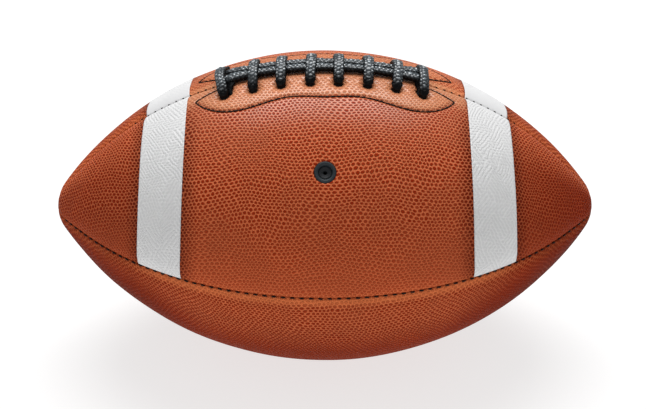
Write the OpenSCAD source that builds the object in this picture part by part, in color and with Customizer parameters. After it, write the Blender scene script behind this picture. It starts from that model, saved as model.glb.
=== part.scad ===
// American football: four leather panels turned and sewn, a lining behind each, an inflated bladder
// with its valve, and one lace that closes the seam between the two upper panels.
// Millimetres. +X runs nose to nose, +Z points up through the lacing, and the origin is under the
// middle of the ball, where it rests on a flat surface.

/* [Ball] */
// Length from nose to nose
ball_l = 290; // [284:1:296]
// Diameter round the middle, before the seams draw it in
ball_d = 168; // [164:1:172]
// Radius of the rounded nose
nose_r = 22; // [18:1:26]

/* [Leather panels] */
// Thickness of the leather
leather_t = 2; // [1.6:0.1:2.3]
// Thickness of the skived edge that is turned in along a seam
lip_t = 1.6; // [1.2:0.1:1.8]
// Depth below the surface to which the turned edges reach
lip_depth = 5; // [4.6:0.1:5.6]
// Depth of the valley that a seam draws into the surface
valley_depth = 1.6; // [0.8:0.1:2]
// Distance from a seam at which its valley begins
valley_w = 9; // [7:0.5:11]
// Gap between the turned edges of two panels
seam_gap = 0.1; // [0.06:0.02:0.2]

/* [White bands] */
// Distance from the middle of the ball to a band's inner edge
band_from = 72.5; // [66:0.5:76]
// Width of a band
band_w = 24; // [22:0.5:26]
// Thickness of the coat of white
band_t = 0.15; // [0.1:0.05:0.3]

/* [Lining, facings and tongue] */
// Thickness of the canvas lining
lining_t = 0.8; // [0.6:0.1:1]
// Thickness of the facing that strengthens the lace holes
facing_t = 1; // [0.8:0.1:1.2]
// Half length of a facing
facing_half_l = 67; // [62:1:70]
// Width of a facing, from the lace seam to its curved edge
facing_w = 27; // [25:0.5:29]
// Length of the curved end of a facing
facing_end_l = 24; // [16:1:30]
// Thickness of the tongue between the lace and the bladder
tongue_t = 1; // [0.8:0.1:1.2]
// Half length of the tongue
tongue_half_l = 62; // [58:1:64]
// Half width of the tongue
tongue_half_w = 25; // [22:0.5:26]

/* [Bladder and valve] */
// Thickness of the bladder wall
bladder_t = 0.8; // [0.6:0.1:1]
// Radius of the valve neck, which fills the hole in the leather
neck_r = 5.5; // [5:0.1:5.9]
// Depth of the neck's rim below the leather's surface
neck_sink = 0.6; // [0.3:0.1:0.9]
// Radius of the flange that holds the valve to the bladder
flange_r = 12; // [10:0.5:14]
// Thickness of that flange
flange_t = 1.5; // [1.2:0.1:1.8]
// Depth to which the valve body reaches inside the ball
valve_depth = 14; // [12:0.5:16]
// Radius of the rubber plug in the valve
plug_r = 3.2; // [2.8:0.1:3.6]
// Depth of the plug's face below the neck's rim
plug_sink = 1.4; // [1:0.1:1.8]
// Length of the plug's bulb below the valve body
bulb_l = 3; // [2:0.5:4]
// How far the bulb stands out beyond the plug
bulb_lip = 0.9; // [0.6:0.1:1.2]
// Radius of the hole that takes an inflating needle
needle_r = 1; // [0.8:0.05:1.1]

/* [Lacing] */
// Number of laces across the seam
cross_count = 8; // [6:1:8]
// Distance from one cross lace to the next
cross_pitch = 14.5; // [13.5:0.1:15]
// Diameter of the lace
lace_d = 4.4; // [4:0.1:4.6]
// Distance of the lace holes from the seam, along the surface
hole_v = 14.5; // [14:0.1:15.5]
// Distance between the two holes that share each end slot
slot_l = 5.6; // [5.4:0.1:6]
// Clearance round the lace in its holes
hole_clear = 0.35; // [0.25:0.05:0.5]
// Gap between the two strands that run along the seam
strand_gap = 0.8; // [0.5:0.1:1.2]
// Gap between a cross lace and the strands below it
cross_gap = 0.5; // [0.45:0.05:0.8]

/* [Hidden] */
$fn = 64;

// Running gaps between layers, and the overrun of a cutter past the solid that it cuts
layer_gap = 0.3;
ply_gap = 0.1;
band_gap = 0.12;
plug_gap = 0.05;
overrun = 2;
// Radius of the pinhole that the four panels leave at each nose
tip_r = 0.6;
// Faces along the meridian: middle to band, across the band, band to nose, round the nose
middle_steps = 6;
band_steps = 2;
side_steps = 5;
nose_steps = 4;
// Faces from a seam valley to the middle of a panel
crown_steps = 5;
// Places across a seam valley, as shares of its width
valley_shares = [0, 0.1, 0.2, 0.5, 1];
// Largest share of half a panel that its seam valley and its turned edge may take near a nose
valley_room_share = 0.45;
lip_room_share = 0.7;
// Sides of the lace
lace_sides = 8;

// The meridian is one long side arc and one nose arc that meet at a common tangent
belly_r = ball_d / 2;
nose_x = ball_l / 2 - nose_r;
side_r = (nose_x * nose_x + belly_r * belly_r - nose_r * nose_r) / (2 * (belly_r - nose_r));
side_drop = side_r - belly_r;
join_a = atan2(nose_x, side_drop);
tip_a = acos(tip_r / nose_r);
band_a0 = asin(band_from / side_r);
band_a1 = asin((band_from + band_w) / side_r);

// Depths below the leather's surface, from outside to inside
lining_depth = leather_t + layer_gap;
facing_depth = lining_depth + lining_t + ply_gap;
facing_floor = facing_depth + facing_t;
bladder_depth = lining_depth + lining_t + layer_gap;
groove_depth = lip_depth + layer_gap;
lace_r = lace_d / 2;
run_depth = lip_depth + lace_d / 2 + 2 * layer_gap;
tongue_depth = run_depth + lace_r + layer_gap;
dent_depth = tongue_depth + tongue_t + ply_gap;
flange_depth = bladder_depth + bladder_t + ply_gap;
lip_s = seam_gap / 2 + lip_t + layer_gap;

// Point [x, radius] at meridian angle a, 0 at the middle and 90 at a nose, and depth d
function meridian(a, d) =
    abs(a) <= join_a
    ? [(side_r - d) * sin(a), (side_r - d) * cos(a) - side_drop]
    : [sign(a) * nose_x + (nose_r - d) * sin(a), (nose_r - d) * cos(a)];

function steps(a0, a1, n) = [for (i = [1:n]) a0 + (a1 - a0) * i / n];
function backwards(list) = [for (i = [len(list) - 1:-1:0]) list[i]];

half_stations = concat(
    steps(0, band_a0, middle_steps), steps(band_a0, band_a1, band_steps),
    steps(band_a1, join_a, side_steps), steps(join_a, tip_a, nose_steps));
stations = concat(-backwards(half_stations), [0], half_stations);
band_stations = concat([band_a0], steps(band_a0, band_a1, band_steps));

// A seam valley's width at meridian angle a, and its depth at distance s from the seam
function valley_width(a) =
    min(valley_w, valley_room_share * meridian(a, 0)[1] * PI / 4);
function valley(a, s) =
    let (w = valley_width(a))
    valley_depth * w / valley_w * pow(max(0, 1 - s / w), 2);
function valley_place(a, share) =
    seam_gap / 2 + share * (valley_width(a) - seam_gap / 2);

// Height of the ball's axis over the surface that it rests on, on both sides of the bottom seam
rest_places = [for (share = valley_shares) valley_place(0, share)];
axis_h = max([for (s = rest_places) (belly_r - valley(0, s)) * cos(s / belly_r * 180 / PI)]);

// Point of a panel in the quarter between +Y and +Z: depth d, at an angle from the +Y seam
function turned(a, d, angle) =
    let (m = meridian(a, d))
    [m[0], m[1] * cos(angle), m[1] * sin(angle)];
// Angle at distance s from the seam on the surface at depth d
function seam_angle(a, s, d) = s / meridian(a, d)[1] * 180 / PI;
// Angles over the crown of a panel, between its two valleys
function crown_angles(a) =
    let (q = seam_angle(a, valley_width(a), 0))
    let (half = steps(q, 45, crown_steps))
    concat(half, [for (i = [crown_steps - 2:-1:0]) 90 - half[i]]);

// Row of points over a panel's outside at station a, lifted by h, from one seam to the other
function outside_row(a, h) =
    let (edge = [for (share = valley_shares)
        let (s = valley_place(a, share))
        [valley(a, s) - h, seam_angle(a, s, 0)]])
    concat(
        [for (e = edge) turned(a, e[0], e[1])],
        [for (angle = crown_angles(a)) turned(a, -h, angle)],
        [for (e = backwards(edge)) turned(a, e[0], 90 - e[1])]);

// Row of points over its inside, with the turned edges
function inside_row(a) =
    let (w = valley_width(a), near = seam_gap / 2)
    let (back = near + min(lip_t, lip_room_share * (w - near)))
    let (edge = [
        [lip_depth, seam_angle(a, near, lip_depth)],
        [lip_depth, seam_angle(a, back, lip_depth)],
        [leather_t, seam_angle(a, back, leather_t)],
        [leather_t, seam_angle(a, (back + w) / 2, leather_t)],
        [leather_t, seam_angle(a, w, 0)]])
    concat(
        [for (e = edge) turned(a, e[0], e[1])],
        [for (angle = crown_angles(a)) turned(a, leather_t, angle)],
        [for (e = backwards(edge)) turned(a, e[0], 90 - e[1])]);

// Closed skin between an outer and an inner sheet of rows, which have the same number of points
module skin(outer, inner) {
    rows = len(outer);
    n = len(outer[0]);
    ring = 2 * n;
    loops = [for (i = [0:rows - 1]) concat(outer[i], backwards(inner[i]))];
    polyhedron(
        points = [for (loop = loops) for (p = loop) p],
        faces = concat(
            [for (i = [0:rows - 2]) for (j = [0:ring - 1])
                let (k = (j + 1) % ring, b = i * ring)
                each [[b + j, b + ring + k, b + k], [b + j, b + ring + j, b + ring + k]]],
            [for (j = [0:n - 2])
                let (p = ring - 1 - j)
                each [[j, p - 1, p], [j, j + 1, p - 1]]],
            [for (j = [0:n - 2])
                let (b = (rows - 1) * ring, p = ring - 1 - j)
                each [[b + j, b + p - 1, b + j + 1], [b + j, b + p, b + p - 1]]]));
}

// Solid of revolution inside the leather's surface, down to depth d
module core(d) {
    half = [for (a = stations) meridian(a, d)];
    ends = [[meridian(90, d)[0], 0], [-meridian(90, d)[0], 0]];
    rotate([0, 90, 0])
        rotate_extrude()
            polygon([for (p = concat(half, ends)) [p[1], p[0]]]);
}

// Layer between two depths, all round the ball
module layer(d, t) {
    difference() {
        core(d);
        core(d + t);
    }
}

// The quarter of space between +Y and +Z, held clear of both seam planes
module quarter(clear) {
    translate([-ball_l / 2, clear, clear])
        cube([ball_l, belly_r, belly_r]);
}

// Raises what is built round the ball's axis to its place over the surface that it rests on
module on_axis() {
    translate([0, 0, axis_h])
        children();
}
// Turns the quarter between +Y and +Z to the panel named by its place
module front_upper() { on_axis() rotate([90, 0, 0]) children(); }
module back_upper() { on_axis() children(); }
module front_lower() { on_axis() rotate([180, 0, 0]) children(); }
module back_lower() { on_axis() rotate([270, 0, 0]) children(); }

// Frame on the ball's surface at x along the meridian and distance v from the lace seam
function place_r(x) = sqrt(side_r * side_r - x * x) - side_drop;
function place_tilt(x) = asin(x / side_r);
function place_turn(x, v) = v / place_r(x) * 180 / PI;
module place(x, v) {
    rotate([place_turn(x, v), 0, 0])
        translate([x, 0, place_r(x)])
            rotate([0, place_tilt(x), 0])
                children();
}
// Point at height h over the surface there
function over_ball(x, v, h) =
    let (r = place_r(x) + h * cos(place_tilt(x)), turn = place_turn(x, v))
    [x + h * sin(place_tilt(x)), -r * sin(turn), axis_h + r * cos(turn)];

// Lace holes. The first and last hole on each side is a slot for two passes of the lace
function cross_x(i) = (i - (cross_count - 1) / 2) * cross_pitch;
end_x = cross_x(cross_count - 1);
slot_x = end_x - slot_l;
hole_r = lace_r + hole_clear;
strand_v = (lace_d + strand_gap) / 2;

module hole_tool(x, side) {
    place(x, side * hole_v)
        translate([0, 0, -facing_floor - overrun])
            cylinder(r = hole_r, h = facing_floor + 2 * overrun);
}
module slot_tool(end, side) {
    hole_tool(end * end_x, side);
    hole_tool(end * slot_x, side);
    place(end * (end_x + slot_x) / 2, side * hole_v)
        translate([-slot_l / 2, -hole_r, -facing_floor - overrun])
            cube([slot_l, 2 * hole_r, facing_floor + 2 * overrun]);
}
module lace_holes(side) {
    for (i = [1:cross_count - 2])
        hole_tool(cross_x(i), side);
    for (end = [-1, 1])
        slot_tool(end, side);
}

// Valve frame: its axis leaves the middle of the front upper panel, and z = 0 on the leather
module at_valve() {
    on_axis()
        rotate([45, 0, 0])
            translate([0, 0, belly_r])
                children();
}
module valve_hole() {
    at_valve()
        translate([0, 0, -bladder_depth - bladder_t - overrun])
            cylinder(r = neck_r + layer_gap, h = bladder_depth + bladder_t + 2 * overrun);
}

module panel_leather() {
    color([0.62, 0.3, 0.17])
        skin([for (a = stations) outside_row(a, 0)], [for (a = stations) inside_row(a)]);
}
module panel_front_upper() {
    difference() {
        front_upper() panel_leather();
        color([0.5, 0.24, 0.14]) on_axis() lace_holes(1);
        color([0.5, 0.24, 0.14]) valve_hole();
    }
}
module panel_back_upper() {
    difference() {
        back_upper() panel_leather();
        color([0.5, 0.24, 0.14]) on_axis() lace_holes(-1);
    }
}
module panel_front_lower() { front_lower() panel_leather(); }
module panel_back_lower() { back_lower() panel_leather(); }

// Canvas behind each panel, between the turned edges of its seams
module lining_canvas() {
    color([0.86, 0.83, 0.74])
        intersection() {
            layer(lining_depth, lining_t);
            quarter(lip_s);
        }
}
module lining_front_upper() {
    difference() {
        front_upper() lining_canvas();
        on_axis() lace_holes(1);
        valve_hole();
    }
}
module lining_back_upper() {
    difference() {
        back_upper() lining_canvas();
        on_axis() lace_holes(-1);
    }
}
module lining_front_lower() { front_lower() lining_canvas(); }
module lining_back_lower() { back_lower() lining_canvas(); }

// Coat of white across one upper panel, from seam to seam
module band_coat(end) {
    places = end > 0 ? band_stations : -backwards(band_stations);
    color([0.93, 0.93, 0.92])
        skin([for (a = places) outside_row(a, band_gap + band_t)],
             [for (a = places) outside_row(a, band_gap)]);
}
module band_front_left() { front_upper() band_coat(-1); }
module band_front_right() { front_upper() band_coat(1); }
module band_back_left() { back_upper() band_coat(-1); }
module band_back_right() { back_upper() band_coat(1); }

// Facing sewn behind the lace holes, with its outer edge curved down to the seam at both ends
module facing_outline() {
    reach = facing_half_l - facing_end_l;
    rise = facing_w - lip_s;
    bend = [for (a = [0:15:90]) [reach + facing_end_l * cos(a), lip_s + rise * sin(a)]];
    polygon(concat(bend, [for (p = backwards(bend)) [-p[0], p[1]]]));
}
module lace_facing(side) {
    color([0.72, 0.62, 0.48])
        on_axis()
            difference() {
                intersection() {
                    layer(facing_depth, facing_t);
                    mirror([0, side > 0 ? 1 : 0, 0])
                        linear_extrude(belly_r)
                            facing_outline();
                }
                lace_holes(side);
            }
}
module lace_facing_front() { lace_facing(1); }
module lace_facing_back() { lace_facing(-1); }

// Soft tongue that keeps the inner runs of the lace off the bladder
module lace_tongue() {
    color([0.8, 0.74, 0.62])
        on_axis()
            intersection() {
                layer(tongue_depth, tongue_t);
                translate([-tongue_half_l, -tongue_half_w, 0])
                    cube([2 * tongue_half_l, 2 * tongue_half_w, belly_r]);
            }
}

// Bladder: it fills the lining, gives way to the turned seam edges, and is pressed in by the tongue
module bladder_body(t) {
    dent_half_l = facing_half_l + overrun;
    dent_half_w = facing_w + overrun;
    core(dent_depth + t);
    difference() {
        union() {
            core(groove_depth + t);
            intersection() {
                core(bladder_depth + t);
                for (turn = [0:90:270])
                    rotate([turn, 0, 0])
                        quarter(lip_s + t);
            }
        }
        translate([-dent_half_l - t, -dent_half_w - t, 0])
            cube([2 * (dent_half_l + t), 2 * (dent_half_w + t), belly_r]);
    }
}
module bladder() {
    color([0.2, 0.2, 0.22])
        difference() {
            on_axis() bladder_body(0);
            on_axis() bladder_body(bladder_t);
            valve_hole();
        }
}

// Valve body moulded to the bladder: a flange inside, and a neck that fills the hole in the leather
module valve_seat() {
    edge = neck_sink;
    color([0.2, 0.24, 0.28])
        difference() {
            union() {
                at_valve()
                    rotate_extrude()
                        polygon([[0, -valve_depth], [neck_r, -valve_depth], [neck_r, -neck_sink - edge],
                            [neck_r - edge, -neck_sink], [0, -neck_sink]]);
                intersection() {
                    on_axis() layer(flange_depth, flange_t);
                    at_valve()
                        translate([0, 0, -valve_depth])
                            cylinder(r = flange_r, h = valve_depth);
                }
            }
            at_valve()
                translate([0, 0, -valve_depth - overrun])
                    cylinder(r = plug_r + plug_gap, h = valve_depth + 2 * overrun);
        }
}

// Rubber plug, pressed in from inside and held by its bulb, with the hole for the needle
module valve_plug() {
    plug_top = -neck_sink - plug_sink;
    color([0.1, 0.11, 0.13])
        at_valve()
            difference() {
                union() {
                    translate([0, 0, -valve_depth - bulb_l])
                        cylinder(r = plug_r, h = valve_depth + bulb_l + plug_top);
                    translate([0, 0, -valve_depth - bulb_l - plug_gap])
                        cylinder(r = plug_r + bulb_lip, h = bulb_l);
                }
                translate([0, 0, -valve_depth - bulb_l - overrun])
                    cylinder(r = needle_r, h = valve_depth + bulb_l + 2 * overrun);
            }
}

// The lace's route as [x, v, h]: along the ball, across from the seam, and over the surface
strand_h = lace_r + layer_gap - valley(0, strand_v + lace_r / 4);
cross_h = strand_h + lace_d + cross_gap;
crest_h = cross_h + layer_gap / 2;
// From a hole up to the strands, as shares of the hole's distance and of the height over the strands
climb_shares = [[1, 0.06], [0.945, 0.35], [0.8, 0.53], [0.59, 0.68], [0.38, 0.87]];
// From a hole to the middle of an inner run, as shares of the hole's distance and of the drop there
dive_shares = [[1, 0], [0.94, 0.6], [0.76, 0.92]];
hole_floor = facing_floor + layer_gap;
run_drop = run_depth - hole_floor;

function half_over(x, side) = concat(
    [[x, side * hole_v, -hole_floor / 2]],
    [for (c = climb_shares) [x, side * c[0] * hole_v, c[1] * cross_h]],
    [[x, side * strand_v, cross_h]]);
// Cross lace at x, from the back hole over to the front hole
function cross_over(x) = concat(
    half_over(x, -1), [[x, 0, crest_h]], backwards(half_over(x, 1)));
// Inner run from the front hole at x0 to the back hole at x1
function inner_run(x0, x1) =
    let (half = [for (c = dive_shares) [c[0], hole_floor + c[1] * run_drop]])
    let (all = concat(half, [[0, run_depth]], [for (p = backwards(half)) [-p[0], p[1]]]))
    [for (p = all) [x0 + (x1 - x0) * (1 - p[0]) / 2, p[0] * hole_v, -p[1]]];
// Turn inside, between the two holes of an end slot
function inner_turn(x0, x1, v) =
    [for (p = [[0, 0], [0.1, 0.62], [0.5, 1], [0.9, 0.62], [1, 0]])
        [x0 + (x1 - x0) * p[0], v, -hole_floor - p[1] * lace_d * 0.6]];
// End of a strand, from its slot hole up and round to the seam, as shares of the hole's distance
// for the way across, and of the slot's length for the way along
strand_end_shares = [
    [1, 0, -0.5], [0.98, 0, 0.2], [0.84, 0.08, 1.5], [0.62, 0.1, 1.5],
    [0.42, 0.06, 1.38], [0.27, -0.12, 1.2], [0.19, -0.5, 1.05], [0.18, -0.95, 1]];
function strand_end(end, side) =
    [for (p = strand_end_shares)
        [end * (slot_x + p[1] * slot_l), side * p[0] * hole_v,
            p[2] < 0 ? p[2] * hole_floor : p[2] * strand_h]];
// Strand along the seam, with a point under each cross lace and one between
function strand(side) = concat(
    strand_end(-1, side),
    [for (i = [1:0.5:cross_count - 2]) [cross_x(i), side * strand_v, strand_h]],
    backwards(strand_end(1, side)));
// Tail tucked between the facing and the tongue
tail_shares = [[-0.75, 0.37, 1], [-0.3, 0.2, 1], [0, 0.04, 0.7]];
function tail(end, side) =
    [for (p = tail_shares)
        [end * (slot_x + p[0] * slot_l), side * (1 + p[1]) * hole_v,
            -hole_floor - p[2] * lace_r]];

lace_route = concat(
    tail(-1, -1), strand(-1), inner_turn(slot_x, end_x, -hole_v),
    [for (i = [cross_count - 1:-1:1]) each concat(
        cross_over(cross_x(i)), inner_run(cross_x(i), cross_x(i - 1)))],
    cross_over(cross_x(0)), inner_turn(-end_x, -slot_x, hole_v),
    strand(1), backwards(tail(1, 1)));
lace_line = [for (p = lace_route) over_ball(p[0], p[1], p[2])];

// Least gap between two passes of the lace, measured on points of its centre line
function unit(v) = v / norm(v);
passes_apart = 4;
lace_gap = min([for (i = [0:len(lace_line) - 1 - passes_apart])
    min([for (j = [i + passes_apart:len(lace_line) - 1]) norm(lace_line[i] - lace_line[j])])]) - lace_d;
echo(lace_least_gap_to_itself = lace_gap, lace_points = len(lace_line));

// Round cord swept along a line of points, its rings carried round each bend without a twist
module cord(line, r, sides) {
    last = len(line) - 1;
    ways = [for (i = [0:last]) unit(line[min(i + 1, last)] - line[max(i - 1, 0)])];
    start = unit(cross(ways[0], [1, 1, 0]));
    ups = [for (i = 0, up = start; i <= last;
        i = i + 1, up = i <= last ? unit(up - (up * ways[i]) * ways[i]) : up) up];
    rings = [for (i = [0:last])
        let (side = cross(ways[i], ups[i]))
        [for (k = [0:sides - 1])
            let (a = 360 * k / sides)
            line[i] + r * (cos(a) * ups[i] + sin(a) * side)]];
    polyhedron(
        points = [for (ring = rings) for (p = ring) p],
        faces = concat(
            [for (i = [0:last - 1]) for (j = [0:sides - 1])
                let (k = (j + 1) % sides, b = i * sides)
                each [[b + j, b + sides + k, b + k], [b + j, b + sides + j, b + sides + k]]],
            [for (j = [1:sides - 2]) [0, j, j + 1]],
            [for (j = [1:sides - 2])
                let (b = last * sides)
                [b, b + j + 1, b + j]]));
}
module lace() {
    color([0.17, 0.2, 0.25])
        cord(lace_line, lace_r, lace_sides);
}

panel_front_upper();
panel_back_upper();
panel_front_lower();
panel_back_lower();
lining_front_upper();
lining_back_upper();
lining_front_lower();
lining_back_lower();
band_front_left();
band_front_right();
band_back_left();
band_back_right();
lace_facing_front();
lace_facing_back();
lace_tongue();
lace();
bladder();
valve_seat();
valve_plug();
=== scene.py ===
import math

import bmesh
import bpy
from mathutils import Matrix, Vector, kdtree, noise


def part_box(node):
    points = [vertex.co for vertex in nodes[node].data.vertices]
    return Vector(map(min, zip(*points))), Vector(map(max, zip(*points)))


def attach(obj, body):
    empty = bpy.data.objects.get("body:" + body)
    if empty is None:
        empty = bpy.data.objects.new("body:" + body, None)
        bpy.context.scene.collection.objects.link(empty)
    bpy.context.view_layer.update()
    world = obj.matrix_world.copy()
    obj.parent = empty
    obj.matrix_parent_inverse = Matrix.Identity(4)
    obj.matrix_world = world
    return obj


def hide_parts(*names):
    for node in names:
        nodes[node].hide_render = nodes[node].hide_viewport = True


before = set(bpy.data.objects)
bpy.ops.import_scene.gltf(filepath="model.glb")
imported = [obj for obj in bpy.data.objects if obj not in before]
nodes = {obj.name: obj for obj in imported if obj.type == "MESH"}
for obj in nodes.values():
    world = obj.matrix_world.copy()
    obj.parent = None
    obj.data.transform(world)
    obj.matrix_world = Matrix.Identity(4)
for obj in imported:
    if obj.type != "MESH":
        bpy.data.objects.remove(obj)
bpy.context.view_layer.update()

# Leather panels
# Four lens-shaped panels of tanned leather, embossed all over with pebbles. They are sewn together
# inside out, then turned and blown up, so that their edges turn in along each seam and the seam lies
# in a soft valley. The two upper panels have the lace holes, and the front one the valve's hole.
mm = 0.001
ball_length = 290 * mm
ball_width = 168 * mm
nose_radius = 22 * mm
nose_opening = 0.3 * mm
leather_thickness = 2 * mm
edge_thickness = 1.6 * mm
valley_width = 9 * mm
valley_depth = 1.6 * mm
valley_room = 0.45
seam_gap = 0.1 * mm
roll_radius = 1.2 * mm
edge_depth = 5 * mm
axis_height = (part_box("panel_front_upper")[0].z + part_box("panel_front_lower")[1].z) / 2
top_turn = 0.0
front_turn = math.pi / 2
back_turn = -math.pi / 2

# The outline is one long side arc and one nose arc that meet at a common tangent
half_width = ball_width / 2
nose_x = ball_length / 2 - nose_radius
side_radius = (nose_x ** 2 + half_width ** 2 - nose_radius ** 2) / (2 * (half_width - nose_radius))
side_drop = side_radius - half_width
side_angle = math.atan2(nose_x, side_drop)
side_length = side_radius * side_angle
nose_length = nose_radius * (math.acos(nose_opening / nose_radius) - side_angle)
half_meridian = side_length + nose_length


def outline(along):
    """x, radius and slope of the ball at a distance along its surface from the middle."""
    if abs(along) <= side_length:
        slope = along / side_radius
        return side_radius * math.sin(slope), side_radius * math.cos(slope) - side_drop, slope
    slope = side_angle + (abs(along) - side_length) / nose_radius
    x = nose_x + nose_radius * math.sin(slope)
    return math.copysign(x, along), nose_radius * math.cos(slope), math.copysign(slope, along)


def along_at(x):
    """Distance along the surface from the middle to a place x on the long side arc."""
    return side_radius * math.asin(x / side_radius)


def on_ball(along, turn, height=0.0):
    """Point at a height over the ball; turn goes round the axis, from the lacing to the valve's side."""
    x, radius, slope = outline(along)
    radius += height * math.cos(slope)
    return Vector((
        x + height * math.sin(slope), -radius * math.sin(turn), axis_height + radius * math.cos(turn)))


def girth(along):
    """Distance round the ball from one seam to the next."""
    return outline(along)[1] * math.pi / 2


def ease(along):
    """Share of its full size that a seam's valley has: less than 1 near a nose."""
    return min(1.0, valley_room * girth(along) / 2 / valley_width)


def valley(distance, share=1.0):
    """Depth of a seam's valley at a distance from the seam."""
    return valley_depth * share * max(0.0, 1 - distance / (valley_width * share)) ** 2


def fold(along, across, seam_turn, way, height=0.0, lift=0.0):
    """Place on the ball of a point of a flat panel. across starts at the panel's first seam, where the
    edge rolls over and turns in, and grows by way to its second seam. lift is square to the leather."""
    share = ease(along)
    span = girth(along)
    near = min(across, span - across)
    roll = roll_radius * share
    distance = near
    rise = height + lift
    if near < roll:
        bend = min((roll - near) / roll, math.pi / 2)
        distance = roll - (roll + lift) * math.sin(bend) + seam_gap / 2
        rise = height - roll + (roll + lift) * math.cos(bend)
        rise -= max(0.0, roll * (1 - math.pi / 2) - near)
    rise -= valley(distance, share)
    if across > span / 2:
        distance = span - distance
    return on_ball(along, seam_turn + way * distance / outline(along)[1], rise)


def fold_inside(along, across, seam_turn, way, height=0.0):
    """Place of the same point on the leather's inner face."""
    share = ease(along)
    span = girth(along)
    near = min(across, span - across)
    roll = roll_radius * share
    wall = edge_thickness * share
    floor = min(leather_thickness, leather_thickness * share * 2)
    if near >= roll:
        distance = wall + (near - roll) * (span / 2 - wall) / (span / 2 - roll)
        drop = floor
    else:
        distance = wall
        drop = floor + (roll - near) * (edge_depth * share - floor) / (edge_turn * share)
    if across > span / 2:
        distance = span - distance
    rise = height - drop - valley(distance, share)
    return on_ball(along, seam_turn + way * distance / outline(along)[1], rise)


def spread(marks):
    """Places from 0 to 1, closer together where marks, pairs of a place and a count, say so."""
    places = [0.0]
    start = 0.0
    for end, count in marks:
        places += [start + (end - start) * (i + 1) / count for i in range(count)]
        start = end
    return places


def both_ways(places):
    return [-p for p in reversed(places[1:])] + places


# Rows of the rolled and turned edge, from its end inside up to the start of the valley
edge_turn = edge_depth - roll_radius + roll_radius * math.pi / 2
edge_rows = 3
roll_rows = 6
roll_marks = [roll_radius * (1 - (1 - i / roll_rows) * math.pi / 2) for i in range(roll_rows)]
edge_marks = [roll_radius - edge_turn + (edge_depth - roll_radius) * i / edge_rows for i in range(edge_rows)]
edge_marks += roll_marks


def flat_panel(columns, rows, edge=edge_marks):
    """Flat sheet of quads: x is the place along the ball, y the place across the panel. columns gives
    the places along the ball for a share of the way across."""
    count = len(rows) + 2 * len(edge)
    last = len(columns(0.0)) - 1
    shares = [0.0] * len(edge) + rows + [1.0] * len(edge)
    places = [columns(share) for share in shares]
    sheet = bmesh.new()
    bmesh.ops.create_grid(sheet, x_segments=last, y_segments=count - 1, size=1)
    for v in sheet.verts:
        i = round((v.co.x + 1) / 2 * last)
        j = round((v.co.y + 1) / 2 * (count - 1))
        along = places[j][i]
        share = ease(along)
        span = girth(along)
        roll = roll_radius * share
        if j < len(edge):
            across = edge[j] * share
        elif j >= count - len(edge):
            across = span - edge[count - 1 - j] * share
        else:
            across = roll + rows[j - len(edge)] * (span - 2 * roll)
        v.co = (along, across, 0)
    return sheet


def on_hole(point, hole):
    """Nearest place to a flat point on the middle line of a hole, and the distance to it."""
    start, end = hole[:2]
    line = end - start
    share = (point - start).dot(line) / max(line.length_squared, 1e-12)
    middle = start + line * min(max(share, 0.0), 1.0)
    return middle, (point - middle).length


def cut_holes(sheet, holes):
    """Opens round and slotted holes in a flat sheet, with the cut vertices moved onto their edge."""
    for hole in holes:
        radius = hole[2]
        inside = [f for f in sheet.faces if on_hole(f.calc_center_median(), hole)[1] < radius]
        rim = {v for f in inside for v in f.verts}
        bmesh.ops.delete(sheet, geom=inside, context="FACES")
        for v in rim:
            if v.is_valid and v.is_boundary:
                middle, distance = on_hole(v.co, hole)
                v.co = middle + (v.co - middle) * (radius / distance)


def smooth_object(name, sheet):
    """New smooth-shaded object from a bmesh, in the shared frame."""
    mesh = bpy.data.meshes.new(name)
    sheet.to_mesh(mesh)
    sheet.free()
    mesh.shade_smooth()
    made = bpy.data.objects.new(name, mesh)
    bpy.context.scene.collection.objects.link(made)
    return made


# Where each cross lace goes into the front hole, and how far it leans at the seam, are given here.
# A hole is a line from start to end and a radius: the end ones are slots, for two passes of the lace.
cross_places = [x * mm for x in (-51.0, -36.2, -22.1, -7.5, 6.7, 21.5, 35.9, 49.6)]
cross_leans = [x * mm for x in (-1.2, 1.0, 0.6, 0.9, 0.1, 0.1, 0.2, -1.0)]
cross_count = len(cross_places)
cross_step = 14.5 * mm
end_x = 50.3 * mm
hole_across = 12.7 * mm
hole_radius = 2.3 * mm
slot_shift = Vector((1.4, 2.4, 0)) * mm
slot_from = 45 * mm


def hole_at(x):
    """Hole of one cross lace, on the flat panel."""
    middle = Vector((along_at(x), hole_across, 0))
    shift = Vector((math.copysign(slot_shift.x, x), slot_shift.y, 0)) if abs(x) > slot_from else Vector()
    return middle - shift, middle, hole_radius


lace_holes = [hole_at(x) for x in cross_places]
valve_opening = 5.6 * mm
valve_middle = Vector((0, girth(0) / 2, 0))
valve_holes = [(valve_middle, valve_middle, valve_opening)]

# Line of stitches that holds the facing behind the lace holes: x and distance from the lace seam, from
# one end of the lacing round the facing's tip and along its outer edge to the middle
tip_line = [(53.5, 5.3), (57, 6.3), (60.5, 7.7), (63.5, 9.1), (66.0, 10.4)]
outer_line = [
    (66.0, 10.4), (63.6, 14.4), (60.9, 17.5), (58, 20.1), (54.5, 22.5), (50, 24.5), (43, 25.8), (34.5, 25.0),
    (26, 23.2), (18, 22.1), (9, 22.6), (0, 23.3)]
half_line = [Vector((along_at(x * mm), v * mm, 0)) for x, v in tip_line + outer_line]


def smooth_line(points, step):
    """Points along a smooth curve through a list of points, about a step apart."""
    made = []
    last = len(points) - 1
    for i in range(last):
        before, start, end, after = (points[min(max(k, 0), last)] for k in range(i - 1, i + 3))
        count = round((end.xyz - start.xyz).length / step)
        for k in range(count):
            t = k / count
            made.append(start + 0.5 * (
                (end - before) * t + (2 * before - 5 * start + 4 * end - after) * t ** 2
                + (3 * start - before - 3 * end + after) * t ** 3))
    made.append(points[-1])
    return made


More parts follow.
